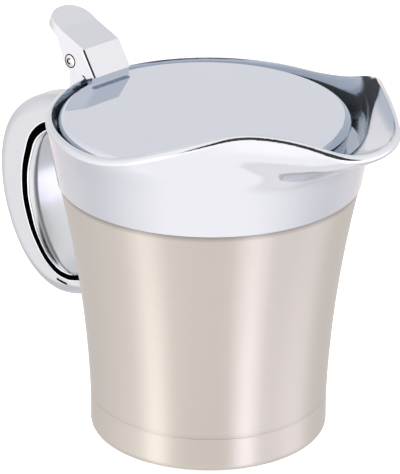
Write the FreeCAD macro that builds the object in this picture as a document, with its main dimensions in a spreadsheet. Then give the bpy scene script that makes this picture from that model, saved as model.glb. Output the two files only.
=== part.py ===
"""Double-wall steel gravy jug with a plated collar, loop handle and hinged lid, in millimetres.

The jug stands on the XY plane with its axis on Z. The spout points along +X, and the handle and
the lid's hinge are on the -X side. Every driving dimension is a cell of the sheet "Sizes".
"""
import FreeCAD, Part
import Sketcher
import math
import os

DIMENSIONS = [
    # the steel body
    ("base_radius", 40.0, "outer radius of the body just above its foot"),
    ("foot_round", 2.5, "rounding of the foot's outer corner"),
    ("foot_land", 5.0, "width of the flat ring that the jug stands on"),
    ("base_recess", 1.6, "height of the hollow under the base"),
    ("split_height", 12.0, "height of the joint between base cup and outer shell"),
    ("split_lap", 4.0, "how far the shell reaches down into the base cup"),
    ("split_gap", 0.3, "width of the groove that shows at that joint"),
    ("seam_height", 90.0, "height of the collar's lower edge"),
    ("body_flare", 10.6, "how much wider the collar's lower edge is than the base"),
    ("seam_radius", "base_radius + body_flare", "outer radius of the collar's lower edge"),
    ("seam_step", 0.4, "how far the collar stands out from the steel"),
    ("flank_curve", 425.0, "radius of the body's flared flank, seen from the side"),
    ("steel_wall", 0.8, "thickness of the sheet steel"),
    ("fit_gap", 0.05, "clearance between pieces that are pressed together"),
    # the inner vessel
    ("floor_height", 9.0, "height of the inner vessel's floor"),
    ("floor_round", 9.0, "rounding between that floor and the wall"),
    ("insulation", 4.0, "distance from the vessel's inside to the body's outside, at the floor"),
    ("floor_wall_radius", "base_radius - insulation", "inner radius of the vessel above its floor"),
    ("mouth_inset", 7.1, "how much narrower the mouth is than the collar's lower edge"),
    ("mouth_radius", "seam_radius - mouth_inset", "inner radius of the vessel's mouth"),
    ("mouth_length", 12.0, "length of the vessel's straight mouth below the collar's lower edge"),
    ("mouth_start", "seam_height - mouth_length", "height at which the wall turns straight up"),
    ("ledge_rise", 9.0, "height of the collar's ledge above its lower edge"),
    ("ledge_height", "seam_height + ledge_rise", "height of that ledge, on its underside"),
    ("ledge_thickness", 2.4, "thickness of the ledge that the lid closes on"),
    ("flange_width", 3.8, "width of the vessel's rolled flange"),
    # the collar, its rim and spout
    ("collar_height", 22.0, "height of the collar at its back and sides"),
    ("rim_height", "seam_height + collar_height", "height of the rim at the back and sides"),
    ("collar_flare", 4.0, "how much wider the collar is at that rim than at its lower edge"),
    ("rim_radius", "seam_radius + collar_flare", "outer radius of the collar at the rim"),
    ("collar_wall", 2.7, "thickness of the collar's wall"),
    ("rim_round", 1.8, "rounding of the rim's outer edge"),
    ("rim_rise_curve", 73.0, "radius of the hollow curve where it rises"),
    ("rim_rise_angle", 21.8, "steepest angle of the rising rim, in degrees"),
    ("crest_rise", 15.7, "height of the crest beside the spout above the rest of the rim"),
    ("crest_height", "rim_height + crest_rise", "height of that crest"),
    ("crest_lean", 0.9, "how far the crest leans in from the collar's cone"),
    ("crest_inset", 4.9, "how far that crest lies inside the rim's front"),
    ("crest_place", "rim_radius - crest_inset", "place of the crest along X"),
    ("crest_curve", 26.0, "radius of the curve up to the crest"),
    ("spout_fall", 8.4, "how far the rim falls from its crest to the spout's tip"),
    ("spout_overhang", 21.9, "how far the spout's tip lies outside the rim"),
    ("spout_reach", "rim_radius + spout_overhang", "distance from the jug's axis to that tip"),
    ("spout_depth", 9.0, "how far below the rim the spout leaves the collar"),
    ("spout_start", "rim_height - spout_depth", "height at which the spout leaves the collar"),
    ("spout_rise", 19.0, "height over which the spout flares out"),
    ("spout_end", "spout_start + spout_rise", "height at which the spout stands upright again"),
    ("spout_nose", 21.7, "radius of the spout's rounded tip, seen from above"),
    ("spout_angle", 55.0, "angle of the spout's flanks, in degrees"),
    ("spout_blend", 1.6, "softness of the bend between spout and collar at the rim"),
    ("spout_root_blend", 12.0, "softness of that bend lower down, where the spout starts"),
    # the handle
    ("handle_width", 16.0, "width of the handle's strap"),
    ("handle_length", 47.4, "how far the handle stands out from the collar's lower edge"),
    ("handle_reach", "seam_radius + handle_length", "distance from the axis to its outermost point"),
    ("handle_drop", 10.2, "how far the handle's upper side lies below the rim, at the collar"),
    ("handle_top", "rim_height - handle_drop", "height of the handle's upper side at the collar"),
    ("handle_foot", 27.3, "height of the handle's lowest point"),
    ("grip_depth", 18.9, "thickness of the grip at its outermost point"),
    ("root_depth", 10.0, "thickness of the strap at the collar"),
    ("toe_depth", 9.5, "thickness of the strap at its lowest point"),
    ("grip_round", 5.5, "rounding of the grip's outer edges"),
    ("grip_edge", 3.0, "rounding of the grip's inner edges"),
    # the hinge
    ("hinge_setback", 3.8, "how far the hinge pin lies outside the rim"),
    ("hinge_place", "rim_radius + hinge_setback", "distance from the jug's axis back to that pin"),
    ("hinge_rise", 5.0, "height of the hinge pin above the rim"),
    ("hinge_height", "rim_height + hinge_rise", "height of the hinge pin"),
    ("pin_radius", 1.3, "radius of the hinge pin"),
    ("pin_head", 2.1, "radius of the pin's domed heads"),
    ("pin_clearance", 0.05, "running clearance round the pin"),
    ("lug_width", 12.0, "width of the collar's hinge lug"),
    ("lug_round", 3.1, "radius of the lug's top, round the pin"),
    ("lug_clearance", 0.35, "side clearance between the lug and the lever's cheeks"),
    # the lid and its lever
    ("lid_offset", 2.4, "how far the lid's centre lies behind the jug's axis"),
    ("lid_clearance", 0.9, "gap between the lid's back edge and the collar's wall"),
    ("lid_radius", "rim_radius - collar_wall - lid_offset - lid_clearance", "largest radius of the lid"),
    ("lid_bevel", 2.4, "width and height of the lid's rounded edge"),
    ("lid_taper", 1.8, "how much the lid's skirt narrows downwards"),
    ("lid_wall", 1.8, "thickness of the lid's plated cover"),
    ("lid_seat_gap", 0.3, "clearance between the lid and the ledge"),
    ("plug_clearance", 1.7, "gap between the lid's plug and the mouth"),
    ("plug_radius", "mouth_radius - plug_clearance", "radius of the plug under the lid"),
    ("plug_depth", 3.0, "how far the plug reaches below the ledge's top"),
    ("cheek_wall", 2.15, "thickness of each of the lever's cheeks"),
    ("lever_width", "lug_width + (lug_clearance + cheek_wall) * 2", "width of the thumb lever"),
    ("lever_wall", 1.8, "thickness of the lever's web"),
    ("front_length", 12.0, "distance from the hinge pin to the lever's front face"),
    ("lever_front", "hinge_place - front_length", "distance from the jug's axis to that face"),
    ("lever_lift", 2.0, "height of the front face's lower edge above the lid"),
    ("lever_inset", 1.2, "how far the lever's foot stands back under that face"),
    ("crease_length", 6.4, "distance from the hinge pin to the crease above the front face"),
    ("lever_crease", "hinge_place - crease_length", "distance from the jug's axis to that crease"),
    ("crease_rise", 10.7, "height of that crease above the lid"),
    ("thumb_setback", 5.1, "distance from the hinge pin back to where the thumb pad starts"),
    ("thumb_start", "hinge_place + thumb_setback", "distance from the jug's axis to that crease"),
    ("thumb_rise", 15.0, "height of that crease above the lid"),
    ("thumb_length", 9.4, "length of the thumb pad"),
    ("thumb_angle", 28.0, "slope of the thumb pad, in degrees"),
    ("thumb_thickness", 3.2, "thickness of the thumb pad"),
    ("thumb_round", 8.0, "rounding of the thumb pad's corners"),
    ("lever_edge", 0.8, "rounding of the lever's long edges"),
]


class Size:
    """A number together with the expression that ties it to the sheet."""

    def __init__(self, value, text=None):
        self.value = value
        self.text = str(value) if text is None else text

    def combine(self, other, sign, value):
        return Size(value, f"({self.text} {sign} {other.text})")

    def __add__(self, other):
        other = as_size(other)
        return self.combine(other, "+", self.value + other.value)

    def __sub__(self, other):
        other = as_size(other)
        return self.combine(other, "-", self.value - other.value)

    def __mul__(self, other):
        other = as_size(other)
        return self.combine(other, "*", self.value * other.value)

    def __truediv__(self, other):
        other = as_size(other)
        return self.combine(other, "/", self.value / other.value)

    def __neg__(self):
        return Size(-self.value, f"(-{self.text})")


def as_size(number):
    """Returns number as a Size, so that plain factors can stand beside sheet values."""
    return number if isinstance(number, Size) else Size(float(number))


def sine(angle):
    return Size(math.sin(math.radians(angle.value)), f"sin({angle.text})")


def cosine(angle):
    return Size(math.cos(math.radians(angle.value)), f"cos({angle.text})")


def fill_sheet(document):
    """Writes every dimension into the sheet and returns them as Sizes by name.

    A dimension given as text is worked out by the sheet from the ones above it.
    """
    sheet = document.addObject("Spreadsheet::Sheet", "Sizes")
    for row, (alias, value, meaning) in enumerate(DIMENSIONS, start=1):
        sheet.set(f"A{row}", meaning)
        sheet.set(f"B{row}", f"={value}")
        sheet.setAlias(f"B{row}", alias)
    document.recompute()
    return {alias: Size(float(sheet.get(alias)), f"Sizes.{alias}") for alias, _, _ in DIMENSIONS}


doc = FreeCAD.newDocument("gravy_jug")
size = fill_sheet(doc)
AXIS_UP = FreeCAD.Vector(0, 0, 1)


def number(alias):
    """Reads one dimension from the sheet."""
    return float(doc.getObject("Sizes").get(alias))


# ---------------------------------------------------------------- sketches and features

def origin_plane(body, role):
    """Finds one of the body's own origin planes by its role."""
    for feature in body.Origin.OriginFeatures:
        if feature.Role == role:
            return feature
    raise ValueError(f"{body.Name} has no {role}")


def add_sketch(body, name, role="XZ_Plane"):
    """Adds a sketch on an origin plane. On XZ_Plane it is drawn in X across and Z up."""
    sketch = body.newObject("Sketcher::SketchObject", name)
    sketch.AttachmentSupport = [(origin_plane(body, role), "")]
    sketch.MapMode = "FlatFace"
    return sketch


def fix_coordinate(sketch, geometry, end, across, place):
    """Holds one coordinate of a sketch point at a place given by a Size."""
    axis = -2 if across else -1
    kind = "DistanceX" if across else "DistanceY"
    if place.text == "0":
        sketch.addConstraint(Sketcher.Constraint("PointOnObject", geometry, end, axis))
        return
    index = sketch.addConstraint(Sketcher.Constraint(kind, geometry, end, place.value))
    sketch.setExpression(f"Constraints[{index}]", place.text)


def arc_between(start, end, radius):
    """Arc from start to end that bends left for a positive radius and right for a negative one."""
    middle = (start + end) * 0.5
    along = end - start
    left = FreeCAD.Vector(-along.y, along.x, 0).normalize()
    rise = math.sqrt(max(0.0, radius ** 2 - (along.Length / 2) ** 2))
    centre = middle + left * math.copysign(rise, radius)
    first, last = (start, end) if radius > 0 else (end, start)
    circle = Part.Circle(centre, AXIS_UP, abs(radius))
    return Part.ArcOfCircle(circle, angle_about(centre, first), angle_about(centre, last))


def angle_about(centre, point):
    return math.atan2(point.y - centre.y, point.x - centre.x)


def draw_outline(sketch, corners, bends=None):
    """Closes an outline through corners, which are (across, up) pairs of Sizes.

    bends gives the radius of each edge that is an arc, by the place of its first corner: positive
    where the outline turns left along it, negative where it turns right.
    """
    bends = bends or {}
    points = [FreeCAD.Vector(as_size(x).value, as_size(y).value, 0) for x, y in corners]
    starts = []
    for index, point in enumerate(points):
        target = points[(index + 1) % len(points)]
        if index in bends:
            bend = bends[index]
            geometry = sketch.addGeometry(arc_between(point, target, bend.value))
            radius = sketch.addConstraint(Sketcher.Constraint("Radius", geometry, abs(bend.value)))
            sketch.setExpression(f"Constraints[{radius}]", f"abs({bend.text})")
            starts.append((1, 2) if bend.value > 0 else (2, 1))
        else:
            sketch.addGeometry(Part.LineSegment(point, target))
            starts.append((1, 2))
    for index, (x, y) in enumerate(corners):
        previous = (index - 1) % len(corners)
        sketch.addConstraint(Sketcher.Constraint(
            "Coincident", previous, starts[previous][1], index, starts[index][0]))
        fix_coordinate(sketch, index, starts[index][0], True, as_size(x))
        fix_coordinate(sketch, index, starts[index][0], False, as_size(y))


def revolve(body, sketch):
    """Turns a sketch on the XZ plane once round the body's Z axis."""
    feature = body.newObject("PartDesign::Revolution", f"{body.Name}_turned")
    feature.Profile = sketch
    feature.ReferenceAxis = (sketch, ["V_Axis"])
    feature.Angle = 360
    sketch.Visibility = False
    return feature


def turned_body(name, corners, bends=None):
    """A body of revolution about Z with the outline given by its corners."""
    body = doc.addObject("PartDesign::Body", name)
    sketch = add_sketch(body, f"{name}_outline")
    draw_outline(sketch, corners, bends)
    revolve(body, sketch)
    return body


def pad(body, sketch, length):
    """Extrudes a sketch to both sides of its plane."""
    feature = body.newObject("PartDesign::Pad", f"{body.Name}_pad")
    feature.Profile = sketch
    feature.setExpression("Length", length.text)
    feature.SideType = "Symmetric"
    sketch.Visibility = False
    return feature


def matching_edges(shape, wanted):
    """Finds the shape's edges that lie where the wanted ones lay."""
    found = []
    for old in wanted:
        middle = old.valueAt(old.getParameterByLength(old.Length / 2))
        vertex = Part.Vertex(middle)
        found.append(min(shape.Edges, key=lambda edge: edge.distToShape(vertex)[0]))
    return found


def fillet(body, name, edges, radius):
    """Rounds some edges of the body's last feature."""
    last = body.Tip
    names = [f"Edge{place}" for place, edge in enumerate(last.Shape.Edges, start=1)
             if any(edge.isSame(chosen) for chosen in edges)]
    feature = body.newObject("PartDesign::Fillet", name)
    feature.Base = (last, names)
    feature.setExpression("Radius", radius.text)
    return feature


def cut(name, base_object, tool):
    result = doc.addObject("Part::Cut", name)
    result.Base = base_object
    result.Tool = tool
    return result


def fuse(name, objects):
    result = doc.addObject("Part::MultiFuse", name)
    result.Shapes = objects
    return result


# ---------------------------------------------------------------- steel body

zero = Size(0, "0")
wall = size["steel_wall"]
base = size["base_radius"]
split = size["split_height"]
flank = size["flank_curve"]
shell_top = size["seam_radius"] - size["seam_step"]
lap = base - wall - size["fit_gap"]


def make_base_cup():
    """Drawn cup that closes the body below and stands on a flat ring."""
    foot_outer = base - size["foot_round"]
    foot_inner = foot_outer - size["foot_land"]
    recess = size["base_recess"]
    slope = recess * 1.5
    corners = [
        (zero, recess),
        (foot_inner - slope, recess),
        (foot_inner, zero),
        (foot_outer, zero),
        (base, size["foot_round"]),
        (base, split),
        (base - wall, split),
        (base - wall, size["foot_round"]),
        (foot_outer, wall),
        (foot_inner + wall * 0.5, wall),
        (foot_inner - slope + wall * 0.5, recess + wall),
        (zero, recess + wall),
    ]
    return turned_body("base_cup", corners, {3: size["foot_round"], 7: -(size["foot_round"] - wall)})


def make_outer_shell():
    """Flared outer shell, necked in below to enter the base cup and above to enter the collar."""
    groove_top = split + size["split_gap"]
    neck = shell_top - wall - size["collar_wall"]
    shoulder = size["seam_height"] - size["fit_gap"]
    neck_top = size["ledge_height"] - wall - size["fit_gap"] * 2
    corners = [
        (lap, split - size["split_lap"]),
        (lap, groove_top - size["fit_gap"]),
        (base, groove_top),
        (shell_top, shoulder),
        (neck, shoulder),
        (neck, neck_top),
        (neck - wall, neck_top),
        (neck - wall, shoulder - wall),
        (shell_top - wall, shoulder - wall),
        (base - wall, groove_top + wall),
        (lap - wall, groove_top),
        (lap - wall, split - size["split_lap"]),
    ]
    return turned_body("outer_shell", corners, {2: -flank, 8: flank + wall})


def make_inner_liner():
    """Deep-drawn inner vessel that hangs by its flange from the shell's neck."""
    floor = size["floor_height"]
    side = size["floor_wall_radius"]
    mouth = size["mouth_radius"]
    top = size["ledge_height"] - size["fit_gap"]
    corners = [
        (zero, floor - wall),
        (side - size["floor_round"], floor - wall),
        (side + wall, floor + size["floor_round"]),
        (mouth + wall, size["mouth_start"]),
        (mouth + wall, top - wall),
        (mouth + size["flange_width"], top - wall),
        (mouth + size["flange_width"], top),
        (mouth, top),
        (mouth, size["mouth_start"]),
        (side, floor + size["floor_round"]),
        (side - size["floor_round"], floor),
        (zero, floor),
    ]
    bends = {
        1: size["floor_round"] + wall,
        2: -flank,
        8: flank + wall,
        9: -size["floor_round"],
    }
    return turned_body("inner_liner", corners, bends)


# ---------------------------------------------------------------- collar with rim and spout

def collar_radius(height):
    """Outer radius of the collar at a height: a cone that leans in a little above the rim."""
    slope = number("collar_flare") / number("collar_height")
    cone = number("seam_radius") + slope * (height - number("seam_height"))
    above = max(0.0, height - number("rim_height")) / number("crest_rise")
    return cone - number("crest_lean") * above ** 2


def spout_flare(height):
    """Share of the spout's overhang that is reached at a height, from 0 at its start to 1."""
    climb = (height - number("spout_start")) / (number("spout_end") - number("spout_start"))
    climb = min(1.0, max(0.0, climb))
    return climb ** 3 * (10 - 15 * climb + 6 * climb ** 2)


def spout_distance(angle, height):
    """Distance from the axis to the spout's V-shaped outline, at an angle away from +X."""
    flare = spout_flare(height)
    root = collar_radius(height) - number("collar_wall")
    tip_height = number("crest_height") - number("spout_fall")
    overhang = (number("spout_reach") - collar_radius(tip_height)) / spout_flare(tip_height)
    tip = root + overhang * flare + number("collar_wall") * min(1.0, flare)
    nose = number("spout_nose") * (1.6 - 0.6 * flare)
    centre = tip - nose
    flank_angle = math.radians(number("spout_angle"))
    flank_distance = centre * math.cos(flank_angle) + nose
    turn = math.atan2(nose * math.sin(flank_angle), centre + nose * math.cos(flank_angle))
    if angle < turn:
        return centre * math.cos(angle) + math.sqrt(nose ** 2 - (centre * math.sin(angle)) ** 2)
    if angle < flank_angle:
        return flank_distance / math.cos(flank_angle - angle)
    return flank_distance * math.cos(angle - flank_angle)


def collar_outline(height):
    """Closed curve of the collar's outside at a height: the cone with the spout blended in."""
    half_count = 60
    half = [math.pi * (step / half_count) ** 1.35 for step in range(half_count + 1)]
    angles = half + [-angle for angle in reversed(half[1:-1])]
    flare = spout_flare(height)
    blend = number("spout_blend") * flare
    blend += number("spout_root_blend") * math.sqrt(flare) * (1 - flare) ** 2
    cone = collar_radius(height)
    points = []
    for angle in angles:
        spout = spout_distance(abs(angle), height)
        reach = (cone + spout + math.hypot(cone - spout, blend)) / 2
        points.append((reach * math.cos(angle), reach * math.sin(angle)))
    return points


def collar_section(name, height, drop=0.0, inset=0.0):
    """Wire of the collar at a height, or of a surface that lies inset inside it and drop above it."""
    points = []
    for x, y in collar_outline(height - drop):
        reach = math.hypot(x, y)
        shrink = (reach - inset) / reach
        points.append(FreeCAD.Vector(x * shrink, y * shrink, height))
    curve = Part.BSplineCurve()
    knots = [index / len(points) for index in range(len(points) + 1)]
    curve.interpolate(Points=points, PeriodicFlag=True, Parameters=knots)
    section = doc.addObject("Part::Feature", name)
    section.Shape = Part.Wire([curve.toShape()])
    return section


def collar_loft(name, heights, drop=0.0, inset=0.0):
    """Solid through the collar's sections at the given heights."""
    loft = doc.addObject("Part::Loft", name)
    loft.Sections = [collar_section(f"{name}_section_{index}", height, drop, inset)
                     for index, height in enumerate(heights)]
    loft.Solid = True
    loft.Ruled = False
    return loft


def make_collar():
    """Plated collar with wavy rim, spout, ledge for the lid and lug for the hinge pin."""
    seam = number("seam_height")
    ledge_top = number("ledge_height") + number("ledge_thickness")
    outside = collar_loft("collar_outside", even_steps(seam, 20))
    drop = 0.6 * number("collar_wall")
    inset = 0.8 * number("collar_wall")
    inside = collar_loft("collar_inside", even_steps(ledge_top, 15), drop, inset)
    trimmed = cut("collar_trimmed", outside, make_rim_cutter())
    with_lug = fuse("collar_with_lug", [round_rim(trimmed), make_lug()])
    hollow = cut("collar_hollow", with_lug, inside)
    bored = cut("collar_bored", hollow, make_collar_bore())
    return with_lug, cut("collar", bored, pin_bore("lug_bore", size["fit_gap"]))


def even_steps(bottom, count):
    """Evenly spaced heights from bottom to just above the rim's crest."""
    step = (number("crest_height") + 3 - bottom) / (count - 1)
    return [bottom + index * step for index in range(count)]


def round_rim(trimmed):
    """Rounds the outer edge of the rim all the way round."""
    doc.recompute()
    edges = [place for place, edge in enumerate(trimmed.Shape.Edges, start=1)
             if edge.BoundBox.ZMin > number("rim_height") - 0.1]
    rounded = doc.addObject("Part::Fillet", "collar_rounded")
    rounded.Base = trimmed
    radius = number("rim_round")
    rounded.Edges = [(place, radius, radius) for place in edges]
    return rounded


def make_collar_bore():
    """Space under the ledge for the steel pieces, and the mouth through the ledge."""
    ledge = size["ledge_height"]
    slope = (size["rim_radius"] - size["seam_radius"]) / (size["rim_height"] - size["seam_height"])
    skirt = size["seam_radius"] - size["collar_wall"]
    corners = [
        (zero, size["seam_height"]),
        (skirt, size["seam_height"]),
        (skirt + slope * (ledge - size["seam_height"]), ledge),
        (size["mouth_radius"], ledge),
        (size["mouth_radius"], ledge + size["ledge_thickness"]),
        (zero, ledge + size["ledge_thickness"]),
    ]
    return turned_body("collar_bore", corners)


def make_rim_cutter():
    """Block above the rim, whose underside is the rim's curve seen from the side."""
    rim = size["rim_height"]
    crest = size["crest_height"]
    crest_place = size["crest_place"]
    rise = size["rim_rise_curve"]
    round_over = size["crest_curve"]
    angle = size["rim_rise_angle"]
    level = Size(1, "1") - cosine(angle)
    curve_run = (rise + round_over) * sine(angle)
    straight_climb = crest - rim - (rise + round_over) * level
    start = crest_place - curve_run - straight_climb * cosine(angle) / sine(angle)
    reach = size["spout_reach"]
    fall = size["spout_fall"]
    run = reach - crest_place
    fall_radius = (run * run + fall * fall) / (fall * 2)
    far = reach + 20
    high = crest + 20
    corners = [
        (-far, rim),
        (start, rim),
        (start + rise * sine(angle), rim + rise * level),
        (crest_place - round_over * sine(angle), crest - round_over * level),
        (crest_place, crest),
        (reach, crest - fall),
        (far, crest - fall),
        (far, high),
        (-far, high),
    ]
    body = doc.addObject("PartDesign::Body", "rim_cutter")
    sketch = add_sketch(body, "rim_curve")
    draw_outline(sketch, corners, {1: rise, 3: -round_over, 4: -fall_radius})
    pad(body, sketch, reach * 2)
    return body


def make_lug():
    """Lug that stands on the collar's back and carries the hinge pin."""
    back = -(size["hinge_place"] + size["lug_round"])
    front = -(size["hinge_place"] - size["lug_round"])
    foot = size["handle_top"] - size["lug_round"]
    corners = [
        (back, foot),
        (-size["seam_radius"], foot),
        (-size["seam_radius"], size["rim_height"] - size["lug_round"]),
        (front, size["rim_height"]),
        (front, size["hinge_height"]),
        (-size["hinge_place"], size["hinge_height"] + size["lug_round"]),
        (back, size["hinge_height"]),
    ]
    body = doc.addObject("PartDesign::Body", "hinge_lug")
    sketch = add_sketch(body, "hinge_lug_outline")
    draw_outline(sketch, corners, {4: size["lug_round"], 5: size["lug_round"]})
    pad(body, sketch, size["lug_width"])
    return body


# ---------------------------------------------------------------- handle

OUTER_LOOP = [(0.0, 0.09), (0.27, 0.03), (0.48, 0.0), (0.72, 0.068), (0.917, 0.263), (1.0, 0.53),
              (0.917, 0.79), (0.68, 0.94), (0.43, 0.985), (0.11, 1.0)]
INNER_LOOP = [(0.0, 0.12), (0.38, 0.015), (0.52, 0.0), (0.68, 0.038), (0.843, 0.156), (0.954, 0.322),
              (1.0, 0.5), (0.962, 0.707), (0.85, 0.875), (0.58, 0.98), (0.2, 1.0)]


def loop_curve(shares, reach, foot, top):
    """Smooth curve in the sketch plane. Its points are shares of the loop's reach and height."""
    wall_place = number("base_radius") + 1.6
    points = [FreeCAD.Vector(-(wall_place + out * (reach - wall_place)), foot + up * (top - foot), 0)
              for out, up in shares]
    curve = Part.BSplineCurve()
    curve.interpolate(points)
    return curve, points


def make_handle(outside):
    """Loop handle that leaves the collar under its rim and comes back to the steel body."""
    body = doc.addObject("PartDesign::Body", "handle_blank")
    sketch = add_sketch(body, "handle_side")
    outer, outer_points = loop_curve(
        OUTER_LOOP, number("handle_reach"), number("handle_foot"), number("handle_top"))
    inner, inner_points = loop_curve(
        INNER_LOOP, number("handle_reach") - number("grip_depth"),
        number("handle_foot") + number("toe_depth"), number("handle_top") - number("root_depth"))
    sketch.addGeometry(outer)
    sketch.addGeometry(Part.LineSegment(outer_points[-1], inner_points[-1]))
    sketch.addGeometry(inner)
    sketch.addGeometry(Part.LineSegment(inner_points[0], outer_points[0]))
    feature = pad(body, sketch, size["handle_width"])
    doc.recompute()
    longest = sorted(feature.Shape.Edges, key=lambda edge: edge.Length)[-4:]
    grip = [edge for edge in longest if edge.BoundBox.XMin < -number("handle_reach") + 1]
    palm = [edge for edge in longest if edge.BoundBox.XMin > -number("handle_reach") + 1]
    fillet(body, "grip_rounding", grip, size["grip_round"])
    doc.recompute()
    palm = matching_edges(body.Tip.Shape, palm)
    fillet(body, "palm_rounding", palm, size["grip_edge"])
    off_collar = cut("handle_off_collar", body, outside)
    return cut("handle", off_collar, make_steel_envelope())


def make_steel_envelope():
    """Solid with the outside of the steel body, to trim what touches it."""
    groove_top = size["split_height"] + size["split_gap"]
    corners = [
        (zero, zero),
        (base, zero),
        (base, groove_top),
        (shell_top, size["seam_height"]),
        (zero, size["seam_height"]),
    ]
    return turned_body("steel_envelope", corners, {2: -flank})


# ---------------------------------------------------------------- hinge, lid and lever

def pin_bore(name, clearance):
    """Cylinder along Y at the hinge, wider than the pin by a clearance."""
    bore = doc.addObject("Part::Cylinder", name)
    bore.setExpression("Radius", (size["pin_radius"] + clearance).text)
    bore.setExpression("Height", (size["lever_width"] * 2).text)
    bore.Placement.Rotation = FreeCAD.Rotation(FreeCAD.Vector(1, 0, 0), 90)
    bore.setExpression("Placement.Base.x", (-size["hinge_place"]).text)
    bore.setExpression("Placement.Base.y", size["lever_width"].text)
    bore.setExpression("Placement.Base.z", size["hinge_height"].text)
    return bore


def make_hinge_pin():
    """Pin along Y with a domed head outside each cheek of the lever."""
    half = size["lever_width"] * 0.5 + size["pin_clearance"] * 2
    head = size["pin_head"]
    crown = head * 0.15
    corners = [
        (zero, -(half + crown)),
        (head, -half),
        (size["pin_radius"], -half),
        (size["pin_radius"], half),
        (head, half),
        (zero, half + crown),
    ]
    dome = (head * head + crown * crown) / (crown * 2)
    body = turned_body("hinge_pin", corners, {0: dome, 4: dome})
    body.Placement.Rotation = FreeCAD.Rotation(FreeCAD.Vector(1, 0, 0), 90)
    body.setExpression("Placement.Base.x", (-size["hinge_place"]).text)
    body.setExpression("Placement.Base.z", size["hinge_height"].text)
    return body


lid_top = size["rim_height"]
lid_bottom = size["ledge_height"] + size["ledge_thickness"] + size["lid_seat_gap"]


def make_lid_cover():
    """Plated cover: a flat top with a rounded edge and a skirt that narrows downwards."""
    radius = size["lid_radius"]
    bevel = size["lid_bevel"]
    skirt = radius - size["lid_taper"]
    thick = size["lid_wall"]
    corners = [
        (skirt, lid_bottom),
        (radius, lid_top - bevel),
        (radius - bevel, lid_top),
        (zero, lid_top),
        (zero, lid_top - thick),
        (radius - bevel - thick * 0.5, lid_top - thick),
        (radius - thick, lid_top - bevel - thick * 0.5),
        (skirt - thick, lid_bottom),
    ]
    body = turned_body("lid_cover", corners, {1: bevel * 1.6})
    body.setExpression("Placement.Base.x", (-size["lid_offset"]).text)
    return body


def make_lid_core():
    """Insulating core that fills the cover and ends in a plug for the mouth."""
    gap = size["fit_gap"]
    core = doc.addObject("Part::Cylinder", "core_disc")
    core.setExpression("Radius", (size["lid_radius"] - size["lid_taper"] - size["lid_wall"] - gap).text)
    core.setExpression("Height", (lid_top - size["lid_wall"] - size["lid_bevel"] - lid_bottom).text)
    core.setExpression("Placement.Base.x", (-size["lid_offset"]).text)
    core.setExpression("Placement.Base.z", lid_bottom.text)
    plug = doc.addObject("Part::Cone", "core_plug")
    plug.setExpression("Radius1", (size["plug_radius"] - size["plug_depth"] * 0.3).text)
    plug.setExpression("Radius2", size["plug_radius"].text)
    plug.setExpression("Height", (size["plug_depth"] + size["lid_seat_gap"]).text)
    plug.setExpression("Placement.Base.z", (lid_bottom - size["plug_depth"] - size["lid_seat_gap"]).text)
    return fuse("lid_core", [core, plug])


def make_thumb_lever(lid_cover):
    """Lever that stands on the lid's back edge, with two cheeks on the pin and a thumb pad."""
    hinge = size["hinge_place"]
    pin_height = size["hinge_height"]
    cheek = size["lug_round"] + size["lug_clearance"]
    slope = size["thumb_angle"]
    thick = size["thumb_thickness"]
    thumb_x = -size["thumb_start"]
    thumb_z = lid_top + size["thumb_rise"]
    tip_x = thumb_x - size["thumb_length"] * cosine(slope)
    tip_z = thumb_z + size["thumb_length"] * sine(slope)
    lid_back = -(size["lid_radius"] + size["lid_offset"]) + size["lid_bevel"] * 0.5
    foot = lid_top - size["lid_bevel"]
    corners = [
        (-(size["lever_front"] + size["lever_inset"]), foot),
        (-(size["lever_front"] + size["lever_inset"]), lid_top + size["lever_lift"]),
        (-size["lever_front"], lid_top + size["lever_lift"]),
        (-size["lever_crease"], lid_top + size["crease_rise"]),
        (thumb_x, thumb_z),
        (tip_x, tip_z),
        (tip_x - thick * sine(slope), tip_z - thick * cosine(slope)),
        (thumb_x - thick * sine(slope), thumb_z - thick * cosine(slope)),
        (-(hinge + cheek), pin_height),
        (-hinge, pin_height - cheek),
        (lid_back - cheek * 0.5, pin_height - cheek),
        (lid_back, lid_top),
        (lid_back, foot),
    ]
    body = doc.addObject("PartDesign::Body", "lever_blank")
    sketch = add_sketch(body, "lever_side")
    draw_outline(sketch, corners, {8: cheek})
    pad(body, sketch, size["lever_width"])
    doc.recompute()
    tip_edges = [edge for edge in body.Tip.Shape.Edges
                 if edge.BoundBox.XMax < tip_x.value + 0.1 and edge.BoundBox.YLength < 0.1]
    fillet(body, "thumb_tip", tip_edges, size["thumb_round"])
    doc.recompute()
    fillet(body, "lever_rounding", top_edges(body.Tip.Shape), size["lever_edge"])
    cavity(body, thick)
    on_lid = cut("lever_on_lid", body, lid_blank(lid_cover))
    return cut("thumb_lever", on_lid, pin_bore("cheek_bore", size["pin_clearance"]))


def top_edges(shape):
    """Finds the long edges round the lever's front and top faces."""
    found = []
    for edge in shape.Edges:
        faces = shape.ancestorsOfType(edge, Part.Face)
        upward = [face for face in faces if face.normalAt(0, 0).z > 0.1]
        sideways = [face for face in faces if abs(face.normalAt(0, 0).z) < 0.001]
        if len(upward) == 1 and len(sideways) == 1 and edge.BoundBox.ZMin > lid_top.value:
            found.append(edge)
    return found


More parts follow.
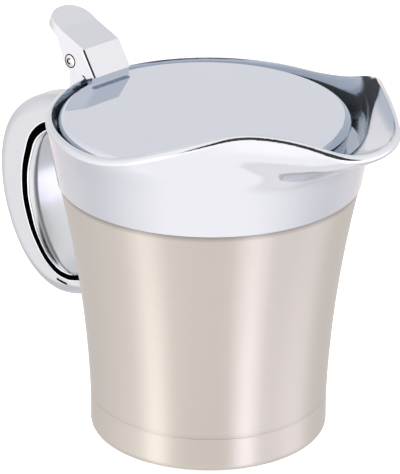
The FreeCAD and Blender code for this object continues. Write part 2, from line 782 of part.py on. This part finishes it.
def cavity(body, thick):
    """Hollows the lever between its cheeks, so that the lug fits in."""
    web = size["lever_wall"]
    back = -(size["thumb_start"] + thick)
    low = lid_top - size["lid_bevel"] * 3
    corners = [
        (-(size["lever_front"] + web), low),
        (-(size["lever_front"] + web), lid_top),
        (-(size["lever_crease"] + web * 0.5), lid_top + size["crease_rise"] - web * 1.2),
        (-size["thumb_start"], lid_top + size["thumb_rise"] - thick),
        (back, lid_top + size["thumb_rise"] - thick * 1.5),
        (back, low),
    ]
    sketch = add_sketch(body, "lever_cavity")
    draw_outline(sketch, corners)
    feature = body.newObject("PartDesign::Pocket", "lever_hollow")
    feature.Profile = sketch
    feature.setExpression("Length", (size["lug_width"] + size["lug_clearance"] * 2).text)
    feature.SideType = "Symmetric"


def lid_blank(lid_cover):
    """Solid with the outside of the lid, to trim the lever's foot."""
    radius = size["lid_radius"]
    bevel = size["lid_bevel"]
    corners = [
        (zero, lid_bottom),
        (radius - size["lid_taper"], lid_bottom),
        (radius, lid_top - bevel),
        (radius - bevel, lid_top),
        (zero, lid_top),
    ]
    body = turned_body("lid_blank", corners, {2: bevel * 1.6})
    body.setExpression("Placement.Base.x", (-size["lid_offset"]).text)
    return body


# ---------------------------------------------------------------- assembly, checks and files

def main():
    outside, collar = make_collar()
    lid_cover = make_lid_cover()
    parts = [
        make_base_cup(),
        make_outer_shell(),
        make_inner_liner(),
        collar,
        make_handle(outside),
        make_hinge_pin(),
        lid_cover,
        make_lid_core(),
        make_thumb_lever(lid_cover),
    ]
    doc.recompute()
    for item in doc.Objects:
        if "Invalid" in item.State or "Error" in item.State:
            raise RuntimeError(f"{item.Name} failed: {item.State}")
    os.makedirs("parts", exist_ok=True)
    for part in parts:
        part.Label = part.Name
        if part.Shape.isNull() or not part.Shape.isValid() or len(part.Shape.Solids) != 1:
            raise RuntimeError(f"{part.Name} is not one valid solid")
        part.Shape.exportStep(f"parts/{part.Label}.step")
        print(f"{part.Label}: {part.Shape.Volume / 1000:.2f} cm3")


main()
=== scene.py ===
import math
import bpy
from mathutils import Matrix, Vector


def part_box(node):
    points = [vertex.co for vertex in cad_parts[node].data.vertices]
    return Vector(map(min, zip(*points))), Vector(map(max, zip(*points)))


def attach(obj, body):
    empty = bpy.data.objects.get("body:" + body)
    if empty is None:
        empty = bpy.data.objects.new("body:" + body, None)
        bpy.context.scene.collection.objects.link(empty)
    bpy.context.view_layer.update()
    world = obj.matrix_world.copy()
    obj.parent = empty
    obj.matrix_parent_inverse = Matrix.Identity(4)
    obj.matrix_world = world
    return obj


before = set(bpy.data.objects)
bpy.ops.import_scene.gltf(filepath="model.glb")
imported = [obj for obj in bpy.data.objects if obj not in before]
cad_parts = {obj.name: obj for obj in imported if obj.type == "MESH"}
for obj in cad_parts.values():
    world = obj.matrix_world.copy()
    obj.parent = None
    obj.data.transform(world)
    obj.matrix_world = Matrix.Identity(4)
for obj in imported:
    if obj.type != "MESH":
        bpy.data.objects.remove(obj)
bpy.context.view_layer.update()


# ---------------------------------------------------------------- brushed steel body

# The outer shell and the base cup are drawn from thin stainless sheet, and the shell's foot is
# pressed into the cup. Both are brushed round the axis on a lathe, which leaves fine level rings and
# stretches the highlights upright. The shell's colour is darkened in a band just under the collar, a
# painted shadow, and more faintly in a band just above the joint.
STEEL_COLOUR = (0.472, 0.486, 0.466)
STEEL_ROUGHNESS = 0.42
STEEL_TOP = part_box("collar")[0][2]
STEEL_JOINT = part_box("base_cup")[1][2]
BRUSH_STRETCH = (6.0, 6.0, 900.0)
BRUSH_SCALE = 4.0
BRUSH_ROUGHNESS_SPREAD = 0.15
BRUSH_COLOUR_SPREAD = 0.08
BRUSH_DEPTH = 0.0001
PAINTED_BAND_TONE = 0.3
# each painted darker band is (height where it is darkest, height where it ends, strength):
# the one under the collar is painted shadow, the one above the joint a plain darker band
BODY_PAINTED_BANDS = ((STEEL_TOP, STEEL_TOP - 0.0024, 0.75), (STEEL_JOINT, STEEL_JOINT + 0.0022, 0.16))


def feed(tree, socket, value):
    """Sets an input socket to a value, or links another node's socket to it."""
    if isinstance(value, bpy.types.NodeSocket):
        tree.links.new(value, socket)
    else:
        socket.default_value = value


def add_node(tree, kind, inputs=None, **settings):
    """A new node with these settings, whose input sockets are fed by name or by number."""
    node = tree.nodes.new(kind)
    for name, value in settings.items():
        setattr(node, name, value)
    for key, value in (inputs or {}).items():
        feed(tree, node.inputs[key], value)
    return node


def new_material(name, values):
    """A material with these values on its Principled shader, as (material, tree, shader sockets)."""
    material = bpy.data.materials.new(name)
    material.use_nodes = True
    sockets = material.node_tree.nodes["Principled BSDF"].inputs
    for key, value in values.items():
        sockets[key].default_value = value
    return material, material.node_tree, sockets


def object_coordinates(tree, scale=(1.0, 1.0, 1.0)):
    """Object coordinates stretched by scale, as a vector socket."""
    source = add_node(tree, "ShaderNodeTexCoord").outputs["Object"]
    return add_node(tree, "ShaderNodeMapping", {"Vector": source, "Scale": scale}).outputs["Vector"]


def noise(tree, vector, scale, detail=2.0, roughness=0.5):
    inputs = {"Vector": vector, "Scale": scale, "Detail": detail, "Roughness": roughness}
    return add_node(tree, "ShaderNodeTexNoise", inputs).outputs["Fac"]


def to_range(tree, value, low, high, start=0.0, end=1.0, **settings):
    """Turns start..end into low..high, held between the two."""
    inputs = {"Value": value, "From Min": start, "From Max": end, "To Min": low, "To Max": high}
    return add_node(tree, "ShaderNodeMapRange", inputs, **settings).outputs["Result"]


def colour_mix(tree, factor, first, second):
    """Mixes two colours, each a tuple or a socket."""
    inputs = {"Factor": factor}
    for key, colour in (("A", first), ("B", second)):
        inputs[key] = (*colour, 1) if isinstance(colour, tuple) else colour
    return add_node(tree, "ShaderNodeMix", inputs, data_type="RGBA").outputs["Result"]


def bump(tree, sockets, height, strength, distance):
    inputs = {"Strength": strength, "Distance": distance, "Height": height}
    feed(tree, sockets["Normal"], add_node(tree, "ShaderNodeBump", inputs).outputs["Normal"])


def shade(colour, factor):
    return tuple(min(1.0, part * factor) for part in colour)


def separate(tree, vector):
    """The X, Y and Z sockets of a vector."""
    return add_node(tree, "ShaderNodeSeparateXYZ", {0: vector}).outputs


def brushed_steel(name, colour, roughness, painted_bands=()):
    """Steel brushed round its axis, darkened in its painted bands."""
    material, tree, sockets = new_material(name, {
        "Metallic": 1.0,
        "Anisotropic": 0.85,
        "Anisotropic Rotation": 0.25,
    })
    tangent = add_node(tree, "ShaderNodeTangent", direction_type="RADIAL", axis="Z")
    feed(tree, sockets["Tangent"], tangent.outputs["Tangent"])
    stretched = object_coordinates(tree, BRUSH_STRETCH)
    rings = noise(tree, stretched, scale=BRUSH_SCALE, detail=3.0, roughness=0.7)
    smoothest = roughness * (1 - BRUSH_ROUGHNESS_SPREAD)
    roughest = roughness * (1 + BRUSH_ROUGHNESS_SPREAD)
    feed(tree, sockets["Roughness"], to_range(tree, rings, smoothest, roughest))
    darkest = shade(colour, 1 - BRUSH_COLOUR_SPREAD)
    brightest = shade(colour, 1 + BRUSH_COLOUR_SPREAD)
    metal = colour_mix(tree, rings, darkest, brightest)
    height = separate(tree, object_coordinates(tree))["Z"]
    # darken the colour in each band: painted shadow under the collar, a plain darker band above the joint
    for darkest_height, end, strength in painted_bands:
        painted_band_mask = to_range(tree, height, strength, 0.0, darkest_height, end)
        metal = colour_mix(tree, painted_band_mask, metal, shade(colour, PAINTED_BAND_TONE))
    feed(tree, sockets["Base Color"], metal)
    bump(tree, sockets, rings, strength=0.2, distance=BRUSH_DEPTH)
    return material


def paint(node, material):
    """Gives a CAD node this material in every slot."""
    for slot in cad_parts[node].material_slots:
        slot.material = material


paint("outer_shell", brushed_steel("brushed_body", STEEL_COLOUR, STEEL_ROUGHNESS, BODY_PAINTED_BANDS))
paint("base_cup", brushed_steel("brushed_base", STEEL_COLOUR, STEEL_ROUGHNESS))


# ---------------------------------------------------------------- base joint

# Base cup and shell meet in a shallow rolled joint just above the foot. A fine bead of bright steel
# lies in its groove, so the joint reads as a soft line all round.
BEAD_RADIUS = 0.00028
BEAD_PROUD = 0.00006
BEAD_LIFT = 0.00015
RING_POINTS = 121
BEAD_SIDES = 12
WELD_DISTANCE = 0.000005
BEAD_DARK = shade(STEEL_COLOUR, 0.95)
BEAD_LIGHT = shade(STEEL_COLOUR, 1.1)


def new_tree(name, inputs):
    """An empty geometry tree with these named inputs, as (tree, their sockets)."""
    tree = bpy.data.node_groups.new(name, "GeometryNodeTree")
    for label, kind in inputs.items():
        tree.interface.new_socket(label, in_out="INPUT", socket_type=f"NodeSocket{kind}")
    tree.interface.new_socket("Geometry", in_out="OUTPUT", socket_type="NodeSocketGeometry")
    return tree, add_node(tree, "NodeGroupInput").outputs


def finish_tree(tree, geometry, finishes):
    """Ends a tree with Realize Instances and a Set Material for each (material, selection)."""
    node = add_node(tree, "GeometryNodeRealizeInstances", {"Geometry": geometry})
    for material, selection in finishes:
        node = add_node(tree, "GeometryNodeSetMaterial", {
            "Geometry": node.outputs["Geometry"],
            "Selection": selection,
            "Material": material,
        })
    add_node(tree, "NodeGroupOutput", {"Geometry": node.outputs["Geometry"]})


def maths(tree, operation, first, second=0.0):
    return add_node(tree, "ShaderNodeMath", {0: first, 1: second}, operation=operation).outputs[0]


def ring_tree():
    """A ring of round bead about Z, closed where Turns is 1 and open where it is less."""
    tree, given = new_tree("bead_ring", {
        "Ring radius": "Float",
        "Bead radius": "Float",
        "Turns": "Float",
        "Place": "Vector",
        "Facing": "Rotation",
        "Finish": "Material",
    })
    arc = add_node(tree, "GeometryNodeCurveArc", {
        "Resolution": RING_POINTS,
        "Radius": given["Ring radius"],
        "Sweep Angle": maths(tree, "MULTIPLY", given["Turns"], math.tau),
    })
    bead = add_node(tree, "GeometryNodeCurvePrimitiveCircle", {
        "Resolution": BEAD_SIDES,
        "Radius": given["Bead radius"],
    })
    tube = add_node(tree, "GeometryNodeCurveToMesh", {
        "Curve": arc.outputs["Curve"],
        "Profile Curve": bead.outputs["Curve"],
        "Fill Caps": True,
    })
    weld = add_node(tree, "GeometryNodeMergeByDistance", {
        "Geometry": tube.outputs["Mesh"],
        "Distance": WELD_DISTANCE,
    })
    placed = add_node(tree, "GeometryNodeTransform", {
        "Geometry": weld.outputs["Geometry"],
        "Translation": given["Place"],
        "Rotation": given["Facing"],
    })
    finish_tree(tree, placed.outputs["Geometry"], [(given["Finish"], True)])
    return tree


def grow(name, tree, values, start=None):
    """Runs a tree once on start with these named inputs, and returns its result as a plain mesh piece."""
    collection = bpy.context.scene.collection
    source = bpy.data.objects.new(f"{name}_source", start or bpy.data.meshes.new(f"{name}_start"))
    collection.objects.link(source)
    modifier = source.modifiers.new("nodes", "NODES")
    modifier.node_group = tree
    for socket in tree.interface.items_tree:
        if socket.in_out == "INPUT" and socket.name in values:
            modifier[socket.identifier] = values[socket.name]
    graph = bpy.context.evaluated_depsgraph_get()
    mesh = bpy.data.meshes.new_from_object(source.evaluated_get(graph), depsgraph=graph)
    bpy.data.objects.remove(source)
    mesh.name = name
    mesh.shade_smooth()
    piece = bpy.data.objects.new(name, mesh)
    collection.objects.link(piece)
    return piece


bead_steel, tree, sockets = new_material("bead_steel", {"Metallic": 1.0})
grain = noise(tree, object_coordinates(tree), scale=300.0)
feed(tree, sockets["Roughness"], to_range(tree, grain, low=0.3, high=0.5))
feed(tree, sockets["Base Color"], colour_mix(tree, grain, BEAD_DARK, BEAD_LIGHT))

RING = ring_tree()
base_bead = grow("base_bead", RING, {
    "Ring radius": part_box("base_cup")[1][0] - BEAD_RADIUS + BEAD_PROUD,
    "Bead radius": BEAD_RADIUS,
    "Turns": 1.0,
    "Place": (0.0, 0.0, STEEL_JOINT + BEAD_LIFT),
    "Facing": (0.0, 0.0, 0.0),
    "Finish": bead_steel,
})
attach(base_bead, "jug")


# ---------------------------------------------------------------- inner vessel

# The inner vessel is deep-drawn from the same steel and left bright, with the press's faint rings.
# It hangs by its flange from the shell's neck, clear of the outer wall.
INSIDE_COLOUR = (0.5, 0.52, 0.55)
INSIDE_ROUGHNESS = 0.28

paint("inner_liner", brushed_steel("steel_inside", INSIDE_COLOUR, INSIDE_ROUGHNESS))


# ---------------------------------------------------------------- collar

# The collar with its wavy rim and spout is moulded in ABS, chromed, and pressed over the shell's
# neck. The plating is a cool mirror over a moulding that ripples very slightly.
CHROME_COLOUR = (0.52, 0.585, 0.655)
CHROME_METALLIC = 0.92
HAZE_SCALE = 60.0
HAZE_SPREAD = 0.3
TINT_SCALE = 25.0
TINT_SPREAD = 0.015
RIPPLE_SCALE = 45.0
RIPPLE_DEPTH = 0.0004


def chrome(name, colour, roughness, ripple):
    """Bright plating over moulded plastic: a mirror with faint haze, and ripples of this strength."""
    material, tree, sockets = new_material(name, {"Metallic": CHROME_METALLIC})
    place = object_coordinates(tree)
    haze = noise(tree, place, scale=HAZE_SCALE)
    clearest = roughness * (1 - HAZE_SPREAD)
    haziest = roughness * (1 + HAZE_SPREAD)
    feed(tree, sockets["Roughness"], to_range(tree, haze, clearest, haziest))
    tint = noise(tree, place, scale=TINT_SCALE, detail=3.0)
    plating = colour_mix(tree, tint, shade(colour, 1 - TINT_SPREAD), shade(colour, 1 + TINT_SPREAD))
    feed(tree, sockets["Base Color"], plating)
    ripples = noise(tree, place, scale=RIPPLE_SCALE, detail=1.0)
    bump(tree, sockets, ripples, strength=ripple, distance=RIPPLE_DEPTH)
    return material


paint("collar", chrome("collar_chrome", CHROME_COLOUR, roughness=0.11, ripple=0.05))


# ---------------------------------------------------------------- handle

# The loop handle is a chromed moulding as well, fixed to the collar and to the shell. Its outer shell
# and its palm cover meet in a narrow dark joint that follows both inner edges of the loop between
# fine raised lips, whose chrome is made brighter than the handle's as a painted highlight. A short slot
# of the same kind lies low on each side, under the joint.
HANDLE_COLOUR = shade(CHROME_COLOUR, 0.88)
# the lips' chrome, brighter than the collar's: a painted highlight on the raised lips
LIP_HIGHLIGHT_COLOUR = shade(CHROME_COLOUR, 1.25)
JOINT_DARK = (0.0004, 0.0004, 0.0006)
JOINT_DUST = (0.0015, 0.0015, 0.002)
# the joint's line from foot to top, in shares of its reach from the jug's wall and of its height
JOINT_LINE = ((0.0, 0.12), (0.38, 0.015), (0.52, 0.0), (0.68, 0.038), (0.843, 0.156), (0.954, 0.322),
              (1.0, 0.5), (0.962, 0.707), (0.85, 0.875), (0.58, 0.98), (0.2, 1.0))
# how far out from the axis it starts, and how far inside the handle's outline it stays
JOINT_START = 0.0416
JOINT_REACH_INSET = 0.0153
JOINT_FOOT_INSET = 0.0084
JOINT_TOP_INSET = 0.0082
JOINT_FOOT_WIDTH = 0.0021
JOINT_GRIP_WIDTH = 0.0041
JOINT_LIP = 0.00022
# the slot's line as (x, height over its middle), and that middle's height over the handle's foot
VENT_LINE = ((-0.0668, 0.0003), (-0.0645, 0.0), (-0.0618, -0.0002))
VENT_HEIGHT = 0.0061
VENT_WIDTH = 0.0014
VENT_LIP = 0.0001
FLOOR_HEIGHT = 0.00008
RIBBON_THICKNESS = 0.0006
RIBBON_POINTS = (241, 13)
PATH_STEPS = 24
# shares of a line's length between which it widens from its foot width to its grip width
WIDENING = (0.2, 0.45)
# shares of a line's width, off its middle, where a lip rises, and where it falls under the surface
LIP_RISE = (0.34, 0.41)
LIP_FALL = (0.42, 0.5)
LIP_UNDERCUT = -0.6
LIP_FINISH_START = 0.36
# how far out of the jug's middle plane the ribbon starts its drop on the handle, and the longest drop
DROP_START = 0.02
DROP_LENGTH = 0.018

paint("handle", chrome("handle_chrome", HANDLE_COLOUR, roughness=0.21, ripple=0.05))

joint_black, tree, sockets = new_material("joint_black", {"Specular IOR Level": 0.0})
dust = noise(tree, object_coordinates(tree), scale=400.0, detail=3.0)
feed(tree, sockets["Roughness"], to_range(tree, dust, low=0.5, high=0.8))
feed(tree, sockets["Base Color"], colour_mix(tree, dust, JOINT_DARK, JOINT_DUST))
# the lips' brighter chrome, a painted highlight
joint_lip_highlight = chrome("joint_lip_highlight", LIP_HIGHLIGHT_COLOUR, roughness=0.2, ripple=0.02)


def combine(tree, **parts):
    """A vector of these X, Y and Z, each a number or a socket, and 0 where none is given."""
    return add_node(tree, "ShaderNodeCombineXYZ", parts).outputs["Vector"]


def vector_maths(tree, operation, first, second):
    inputs = {0: first, 1: second}
    return add_node(tree, "ShaderNodeVectorMath", inputs, operation=operation).outputs["Vector"]


def joint_tree():
    """A ribbon laid along a path on one side of the handle: a dark floor between two raised lips."""
    tree, given = new_tree("handle_joint", {
        "Path": "Geometry",
        "Handle": "Object",
        "Side": "Float",
        "Foot width": "Float",
        "Grip width": "Float",
        "Lip height": "Float",
        "Floor height": "Float",
        "Floor finish": "Material",
        "Lip finish": "Material",
    })
    side = given["Side"]

    # a flat grid one long and one wide, about its middle
    ribbon = add_node(tree, "GeometryNodeMeshGrid", {
        "Vertices X": RIBBON_POINTS[0],
        "Vertices Y": RIBBON_POINTS[1],
    })
    grid = separate(tree, add_node(tree, "GeometryNodeInputPosition").outputs[0])
    along = maths(tree, "ADD", grid["X"], 0.5)
    off_middle = maths(tree, "ABSOLUTE", grid["Y"])

    # each of its points goes to its place beside the path, in the jug's middle plane
    path = add_node(tree, "GeometryNodeSampleCurve", {
        "Curves": given["Path"],
        "Factor": along,
    }, mode="FACTOR", use_all_curves=True).outputs
    sideways = vector_maths(tree, "CROSS_PRODUCT", path["Tangent"], (0.0, 1.0, 0.0))
    width = to_range(tree, along, given["Foot width"], given["Grip width"], *WIDENING)
    step = add_node(tree, "ShaderNodeVectorMath", {
        "Vector": sideways,
        "Scale": maths(tree, "MULTIPLY", grid["Y"], width),
    }, operation="SCALE").outputs["Vector"]
    flat = separate(tree, vector_maths(tree, "ADD", path["Position"], step))

    # from one side it drops straight on the handle, and what misses the handle is cut away
    handle = add_node(tree, "GeometryNodeObjectInfo", {"Object": given["Handle"]})
    start_y = maths(tree, "MULTIPLY", side, DROP_START)
    landing = add_node(tree, "GeometryNodeRaycast", {
        "Target Geometry": handle.outputs["Geometry"],
        "Source Position": combine(tree, X=flat["X"], Y=start_y, Z=flat["Z"]),
        "Ray Direction": combine(tree, Y=maths(tree, "MULTIPLY", side, -1.0)),
        "Ray Length": DROP_LENGTH,
    }).outputs
    missed = add_node(tree, "FunctionNodeBooleanMath", {0: landing["Is Hit"]}, operation="NOT")
    landed = add_node(tree, "GeometryNodeDeleteGeometry", {
        "Geometry": ribbon.outputs["Mesh"],
        "Selection": missed.outputs[0],
    }, domain="POINT")

    # there it is raised into its section
    rise = to_range(tree, off_middle, 0.0, 1.0, *LIP_RISE)
    fall = to_range(tree, off_middle, 1.0, LIP_UNDERCUT, *LIP_FALL)
    lip = maths(tree, "MULTIPLY", maths(tree, "MULTIPLY", rise, fall), given["Lip height"])
    height = maths(tree, "ADD", lip, given["Floor height"])
    proud = combine(tree, Y=maths(tree, "MULTIPLY", height, side))
    shaped = add_node(tree, "GeometryNodeSetPosition", {
        "Geometry": landed.outputs["Geometry"],
        "Position": vector_maths(tree, "ADD", landing["Hit Position"], proud),
    })
    outwards = add_node(tree, "GeometryNodeFlipFaces", {
        "Mesh": shaped.outputs["Geometry"],
        "Selection": maths(tree, "GREATER_THAN", side, 0.0),
    })

    # its floor and its lips have a finish each
    share = separate(tree, ribbon.outputs["UV Map"])["Y"]
    share_off_middle = maths(tree, "ABSOLUTE", maths(tree, "SUBTRACT", share, 0.5))
    on_lip = maths(tree, "GREATER_THAN", share_off_middle, LIP_FINISH_START)
    finishes = [(given["Floor finish"], True), (given["Lip finish"], on_lip)]
    finish_tree(tree, outwards.outputs["Mesh"], finishes)
    return tree


def side_curve(name, points):
    """A smooth open curve through (x, z) points in the jug's middle plane."""
    data = bpy.data.curves.new(name, "CURVE")
    data.dimensions = "3D"
    data.resolution_u = PATH_STEPS
    spline = data.splines.new("BEZIER")
    spline.bezier_points.add(len(points) - 1)
    for knot, (x, z) in zip(spline.bezier_points, points):
        knot.co = (x, 0.0, z)
        knot.handle_left_type = "AUTO"
        knot.handle_right_type = "AUTO"
    return data


handle_low, handle_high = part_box("handle")
loop_reach = -handle_low[0] - JOINT_REACH_INSET
loop_foot = handle_low[2] + JOINT_FOOT_INSET
loop_top = handle_high[2] - JOINT_TOP_INSET
joint_points = [(-(JOINT_START + out * (loop_reach - JOINT_START)), loop_foot + up * (loop_top - loop_foot))
                for out, up in JOINT_LINE]
vent_height = handle_low[2] + VENT_HEIGHT
vent_points = [(x, vent_height + rise) for x, rise in VENT_LINE]
HANDLE_LINES = {
    "handle_joint": (joint_points, JOINT_FOOT_WIDTH, JOINT_GRIP_WIDTH, JOINT_LIP),
    "handle_vent": (vent_points, VENT_WIDTH, VENT_WIDTH, VENT_LIP),
}
JOINT = joint_tree()
for line, (points, foot_width, grip_width, lip_height) in HANDLE_LINES.items():
    for where, side in (("near", -1.0), ("far", 1.0)):
        piece = grow(f"{line}_{where}", JOINT, {
            "Handle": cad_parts["handle"],
            "Side": side,
            "Foot width": foot_width,
            "Grip width": grip_width,
            "Lip height": lip_height,
            "Floor height": FLOOR_HEIGHT,
            "Floor finish": joint_black,
            "Lip finish": joint_lip_highlight,
        }, side_curve(f"{line}_path_{where}", points))
        solid = piece.modifiers.new("thickness", "SOLIDIFY")
        solid.thickness = RIBBON_THICKNESS
        solid.offset = -1.0
        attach(piece, "jug")


# ---------------------------------------------------------------- lid

# The lid's cover is a shallow chromed disc with a rounded edge. Its core is a black plastic plug,
# fixed under the cover, that drops into the vessel's mouth.
COVER_COLOUR = (0.5, 0.57, 0.66)
PLASTIC_DARK = (0.022, 0.022, 0.026)
PLASTIC_LIGHT = (0.032, 0.032, 0.036)

paint("lid_cover", chrome("lid_chrome", COVER_COLOUR, roughness=0.04, ripple=0.03))

lid_plastic, tree, sockets = new_material("lid_plastic", {})
grain = noise(tree, object_coordinates(tree), scale=900.0)
feed(tree, sockets["Roughness"], to_range(tree, grain, low=0.42, high=0.6))
feed(tree, sockets["Base Color"], colour_mix(tree, grain, PLASTIC_DARK, PLASTIC_LIGHT))
bump(tree, sockets, grain, strength=0.15, distance=0.0001)
paint("lid_core", lid_plastic)


# ---------------------------------------------------------------- thumb lever and pin

# The thumb lever is a chromed moulding fixed to the lid's back. It turns on a steel pin through the
# collar's lug. Each domed pin head sits in a fine dark ring and carries a curved dark line.
LEVER_COLOUR = (0.54, 0.595, 0.665)
PIN_DARK = (0.52, 0.56, 0.6)
PIN_LIGHT = (0.6, 0.62, 0.66)
PIN_TURNING = (1.0, 0.2, 1.0)
PIN_RING_CLEARANCE = 0.00018
PIN_RING_BEAD = 0.0002
# the curved dark line's radius as a share of the head's, the thickness of its line, its turn, and its tilt
# in degrees
HEAD_MARK_SHARE = 0.42
HEAD_MARK_BEAD = 0.00022
HEAD_MARK_TURNS = 0.6
HEAD_MARK_TILT = -72

paint("thumb_lever", chrome("lever_chrome", LEVER_COLOUR, roughness=0.07, ripple=0.05))

pin_steel, tree, sockets = new_material("pin_steel", {"Metallic": 1.0})
turned = noise(tree, object_coordinates(tree, PIN_TURNING), scale=500.0)
feed(tree, sockets["Roughness"], to_range(tree, turned, low=0.15, high=0.3))
feed(tree, sockets["Base Color"], colour_mix(tree, turned, PIN_DARK, PIN_LIGHT))
paint("hinge_pin", pin_steel)

pin_low, pin_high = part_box("hinge_pin")
lever_low, lever_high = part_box("thumb_lever")
pin_x = (pin_low[0] + pin_high[0]) / 2
pin_z = (pin_low[2] + pin_high[2]) / 2
head_radius = (pin_high[2] - pin_low[2]) / 2
upright = math.radians(90)
HEADS = {
    "near": (lever_low[1], pin_low[1]),
    "far": (lever_high[1], pin_high[1]),
}
for where, (cheek_y, head_y) in HEADS.items():
    ring = grow(f"pin_ring_{where}", RING, {
        "Ring radius": head_radius + PIN_RING_CLEARANCE,
        "Bead radius": PIN_RING_BEAD,
        "Turns": 1.0,
        "Place": (pin_x, cheek_y, pin_z),
        "Facing": (upright, 0.0, 0.0),
        "Finish": joint_black,
    })
    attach(ring, "lid")
    # a curved dark line laid on each pin head
    slot = grow(f"pin_slot_{where}", RING, {
        "Ring radius": head_radius * HEAD_MARK_SHARE,
        "Bead radius": HEAD_MARK_BEAD,
        "Turns": HEAD_MARK_TURNS,
        "Place": (pin_x, head_y, pin_z),
        "Facing": (upright, math.radians(HEAD_MARK_TILT), 0.0),
        "Finish": joint_black,
    })
    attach(slot, "jug")


# ---------------------------------------------------------------- floor and studio

# The floor is plain white paper. It glows a little, so that the jug leaves hardly a shadow on it,
# and the jug's mirrors don't show it.
PAPER_HALF = 3.0
PAPER_WHITE = 0.95
PAPER_GLOW = 0.6

floor_paper, tree, sockets = new_material("floor_paper", {
    "Base Color": (PAPER_WHITE, PAPER_WHITE, PAPER_WHITE, 1),
    "Roughness": 0.9,
    "Emission Color": (1, 1, 1, 1),
    "Emission Strength": PAPER_GLOW,
})
floor_mesh = bpy.data.meshes.new("floor")
corners = [(x * PAPER_HALF, y * PAPER_HALF, 0) for x, y in ((-1, -1), (1, -1), (1, 1), (-1, 1))]
floor_mesh.from_pydata(corners, [], [(0, 1, 2, 3)])
floor_mesh.materials.append(floor_paper)
floor = bpy.data.objects.new("floor", floor_mesh)
floor.visible_glossy = False
bpy.context.scene.collection.objects.link(floor)

# The studio is a tent of warm white cloth, brightest on the camera's side of the jug and dimmer behind
# it. It has a dark gap high in front, and low round the jug hang a broad lamp and two strip lamps.
# Angles are in degrees: azimuths run counter-clockwise from the camera's side, elevations from level.
WARMTH = (1.72, 1.53, 1.42)
FRONT_AZIMUTH = math.radians(45)
FRONT = (math.sin(FRONT_AZIMUTH), -math.cos(FRONT_AZIMUTH), 0.0)
SIDE = (math.cos(FRONT_AZIMUTH), math.sin(FRONT_AZIMUTH), 0.0)
GROUND_CLOTH = (0.8, 0.8, 0.82)
# bands of cloth upwards: where each begins, its colour in front and behind, and where it dims between
TENT_BANDS = (
    ((-68, -54), (0.98, 0.975, 1.0), (0.58, 0.585, 0.62), (25, 125)),
    ((-37, -27), (1.12, 1.11, 1.12), (0.62, 0.62, 0.65), (60, 150)),
    ((-12, 10), (1.0, 1.0, 1.0), (0.69, 0.71, 0.74), (60, 170)),
)
GAP_AZIMUTHS = (-34, 72)
GAP_ELEVATIONS = (8, 64)
GAP_EDGE = 6
GAP_COLOUR = (0.001, 0.002, 0.005)
# each lamp's middle and width in azimuth, and its colour
LAMPS = (
    (71, 60, (1.4, 1.38, 1.58)),
    (-51, 20, (2.15, 2.13, 2.2)),
    (35, 17, (2.85, 2.82, 3.3)),
)
LAMP_ELEVATIONS = (-31, -2)
LAMP_EDGE = 10
LAMP_END_EDGE = 8


def tent_dot(vector, axis):
    inputs = {0: vector, 1: axis}
    return add_node(tent, "ShaderNodeVectorMath", inputs, operation="DOT_PRODUCT").outputs["Value"]


def tent_step(angle, start, end):
    """Rises softly from 0 to 1 while the angle goes from start to end."""
    limits = (math.radians(start), math.radians(end))
    return to_range(tent, angle, 0.0, 1.0, *limits, interpolation_type="SMOOTHSTEP")


def tent_window(angle, limits, edge):
    """1 between two limits and 0 outside them, with soft edges this wide."""
    low, high = limits
    return maths(tent, "MULTIPLY", tent_step(angle, low - edge / 2, low + edge / 2),
                 tent_step(angle, high + edge / 2, high - edge / 2))


def tent_cloth(colour):
    return tuple(part * warm for part, warm in zip(colour, WARMTH))


world = bpy.data.worlds.new("studio")
world.use_nodes = True
bpy.context.scene.world = world
tent = world.node_tree
direction = add_node(tent, "ShaderNodeTexCoord").outputs["Generated"]
azimuth = maths(tent, "ARCTAN2", tent_dot(direction, SIDE), tent_dot(direction, FRONT))
elevation = maths(tent, "ARCSINE", tent_dot(direction, (0, 0, 1)))
away = maths(tent, "ABSOLUTE", azimuth)

light = tent_cloth(GROUND_CLOTH)
for rise, front, back, dimming in TENT_BANDS:
    band = colour_mix(tent, tent_step(away, *dimming), tent_cloth(front), tent_cloth(back))
    light = colour_mix(tent, tent_step(elevation, *rise), light, band)
gap = maths(tent, "MULTIPLY", tent_window(azimuth, GAP_AZIMUTHS, GAP_EDGE),
            tent_window(elevation, GAP_ELEVATIONS, GAP_EDGE))
light = colour_mix(tent, gap, light, GAP_COLOUR)
for middle, width, glow in LAMPS:
    limits = (middle - width / 2, middle + width / 2)
    lamp = maths(tent, "MULTIPLY", tent_window(azimuth, limits, LAMP_EDGE),
                 tent_window(elevation, LAMP_ELEVATIONS, LAMP_END_EDGE))
    light = colour_mix(tent, lamp, light, tent_cloth(glow))
feed(tent, tent.nodes["Background"].inputs["Color"], light)
feed(tent, tent.nodes["Background"].inputs["Strength"], 1.0)


# ---------------------------------------------------------------- camera

# The camera looks down at the jug from between its spout and its near side. Its lens is long, and
# keeps everything sharp.
LENS = 294.9
SENSOR_WIDTH = 36.0
FARTHEST = 20.0
CAMERA_PLACE = Vector((0.83986, -0.83986, 0.58846))
CAMERA_TARGET = Vector((-0.00429, -0.00014, 0.06666))
CAMERA_ROLL = math.radians(0.28)

bpy.context.scene.view_settings.view_transform = "Standard"
camera_data = bpy.data.cameras.new("camera")
camera_data.lens = LENS
camera_data.sensor_width = SENSOR_WIDTH
camera_data.clip_end = FARTHEST
camera_data.dof.use_dof = False
camera = bpy.data.objects.new("camera", camera_data)
level = (CAMERA_TARGET - CAMERA_PLACE).to_track_quat("-Z", "Y").to_matrix()
camera.location = CAMERA_PLACE
camera.rotation_euler = (level @ Matrix.Rotation(CAMERA_ROLL, 3, "Z")).to_euler()
bpy.context.scene.collection.objects.link(camera)
bpy.context.scene.camera = camera
